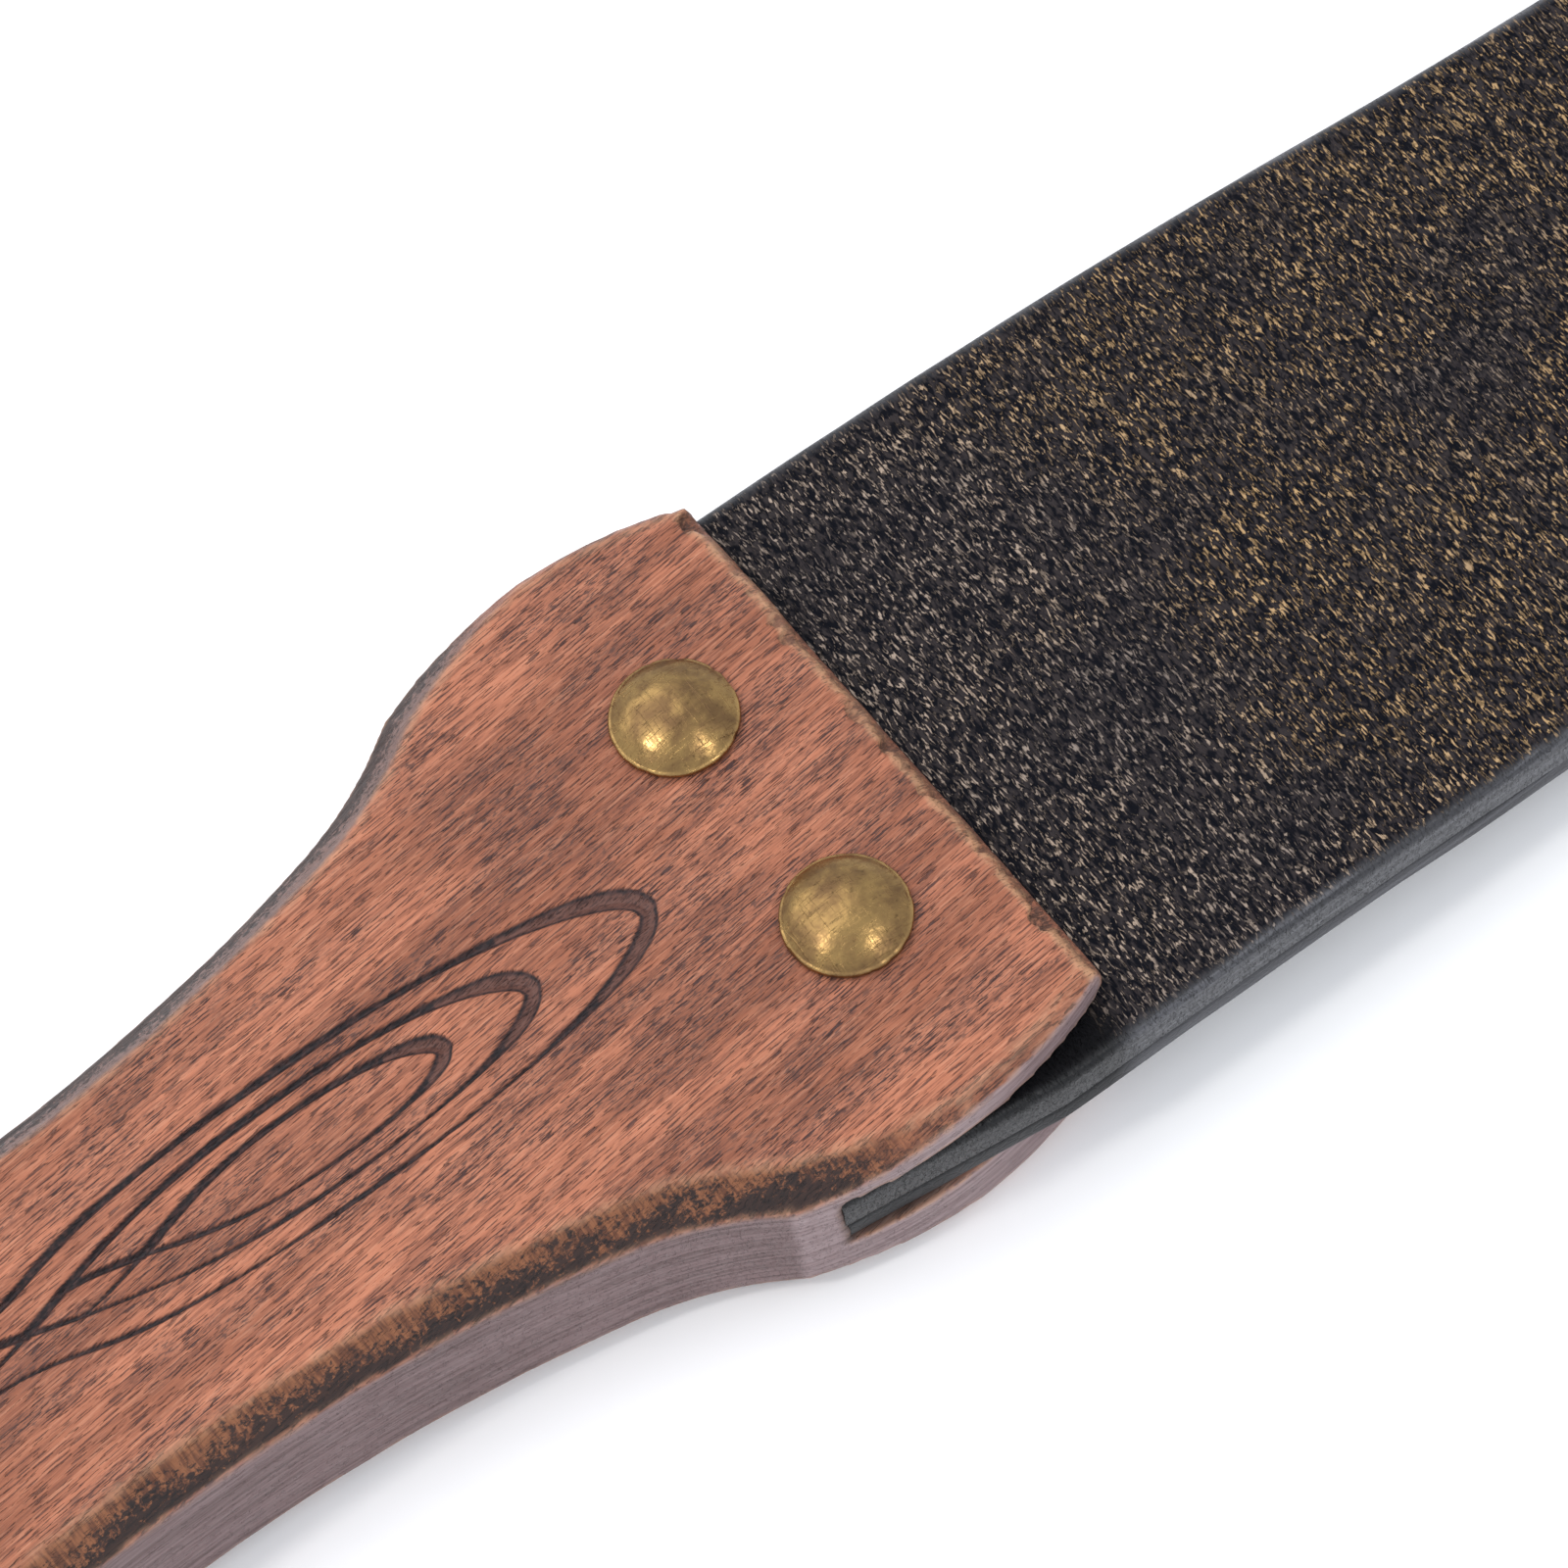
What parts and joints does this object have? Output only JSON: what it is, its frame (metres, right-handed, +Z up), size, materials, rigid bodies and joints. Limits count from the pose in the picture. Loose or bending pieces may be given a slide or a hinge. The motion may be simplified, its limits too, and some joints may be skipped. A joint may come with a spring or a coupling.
{
  "type": "leather strop",
  "caption": "Hanging strop: carved wooden handle gripping a two-layer leather strap in a slot, with a D-ring and swivel bolt snap at the far end.",
  "frame": {"origin": "middle of the handle's flat underside, which rests on the table", "axes": "+X along the strop from the handle towards the snap hook, +Y across the strap, +Z up from the table"},
  "size_m": [0.6098, 0.0592, 0.0204],
  "materials": {
    "beech": "oiled reddish brown beech with dark antiquing",
    "strop_leather": "waxed blue-black crackle leather with gold-brown specks",
    "backing_leather": "smooth dark leather with burnished edges",
    "hanger_leather": "smooth waxed leather",
    "antique_brass": "antiqued, scratched",
    "hardware_brass": "antiqued, cast and plated",
    "spring_steel": "bright drawn wire"
  },
  "bodies": {
    "handle": {"handle": "beech", "strop_leather_root": "strop_leather", "backing_leather_root": "backing_leather", "handle_cap_1": "antique_brass", "handle_cap_2": "antique_brass", "handle_screw_1": "antique_brass", "handle_screw_2": "antique_brass"},
    "strap": {"strop_leather": "strop_leather", "backing_leather": "backing_leather", "hanger_loop": "hanger_leather", "hanger_cap_1": "antique_brass", "hanger_cap_2": "antique_brass", "hanger_screw_1": "antique_brass", "hanger_screw_2": "antique_brass"},
    "d_ring": {"d_ring": "hardware_brass"},
    "swivel_eye": {"swivel_eye": "hardware_brass"},
    "snap_body": {"snap_body": "hardware_brass", "bolt_spring": "spring_steel"},
    "snap_bolt": {"snap_bolt": "hardware_brass", "thumb_stud": "hardware_brass"}
  },
  "joints": [
    {"name": "strap_flex", "type": "hinge", "parent": "handle", "child": "strap", "pos_m": [0.08, 0, 0.0104], "axis": [0, -1, 0], "range_deg": [-30, 30], "stiffness_Nm_per_rad": 1.2},
    {"name": "ring_swing", "type": "hinge", "parent": "strap", "child": "d_ring", "pos_m": [0.4588, 0, 0.0071], "axis": [0, -1, 0], "range_deg": [-75, 75]},
    {"name": "eye_swing", "type": "hinge", "parent": "d_ring", "child": "swivel_eye", "pos_m": [0.4791, 0, 0.0071], "axis": [0, -1, 0], "range_deg": [-60, 60]},
    {"name": "snap_swivel", "type": "hinge", "parent": "swivel_eye", "child": "snap_body", "pos_m": [0.4886, 0, 0.0071], "axis": [1, 0, 0], "continuous": true},
    {"name": "bolt_slide", "type": "slide", "parent": "snap_body", "child": "snap_bolt", "axis": [-1, 0, 0], "range_m": [0, 0.0065], "stiffness_N_per_m": 300, "springref_m": -0.004, "deforming": ["bolt_spring"]}
  ]
}
